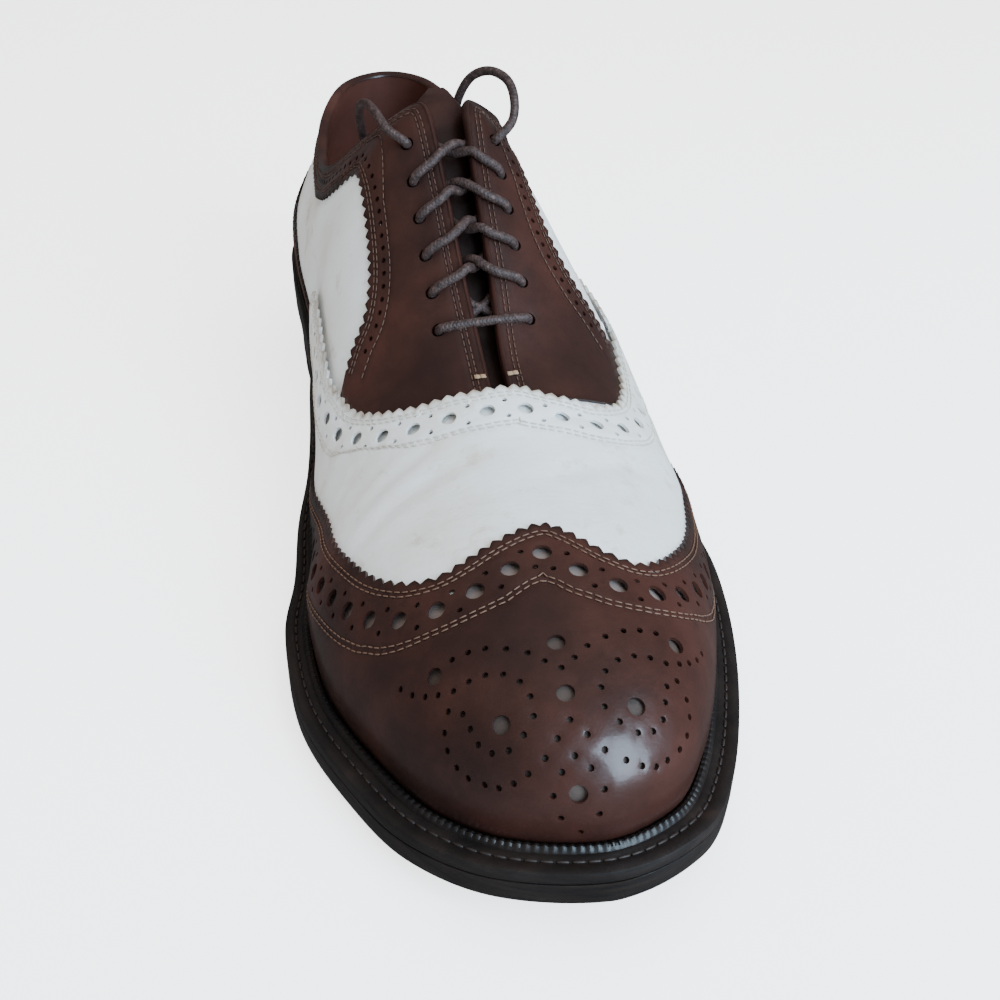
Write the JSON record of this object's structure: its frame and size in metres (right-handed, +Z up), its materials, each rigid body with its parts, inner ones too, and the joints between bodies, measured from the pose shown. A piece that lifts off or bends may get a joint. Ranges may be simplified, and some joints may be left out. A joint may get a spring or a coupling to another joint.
{
  "type": "spectator shoe",
  "caption": "Two-tone wing-tip lace-up dress shoe for the right foot, in brown and white calf, empty on its leather sole and stacked heel.",
  "frame": {"origin": "on the floor, under the middle of the shoe's bounding box", "axes": "+Z up, -Y towards the toe, +X towards the inner (medial) side of the foot"},
  "size_m": [0.1142, 0.3046, 0.1131],
  "materials": {
    "brown_calf": "polished",
    "white_calf": "smooth, slightly creased",
    "dark_edge_leather": "dressed and worn edge",
    "rubber": "matt",
    "tan_lining": "matt",
    "waxed_cotton": "waxed round braid"
  },
  "bodies": {
    "root": {"outsole": "dark_edge_leather", "welt": "dark_edge_leather", "heel_stack": "dark_edge_leather", "heel_top_piece": "rubber", "insole": "tan_lining", "upper": "white_calf", "wing_cap": "brown_calf", "facing_outer": "brown_calf", "facing_inner": "brown_calf", "heel_counter": "brown_calf", "tongue": "brown_calf", "lace_crossings": "waxed_cotton", "lace_end_outer": "waxed_cotton", "lace_end_inner": "waxed_cotton"}
  },
  "joints": []
}
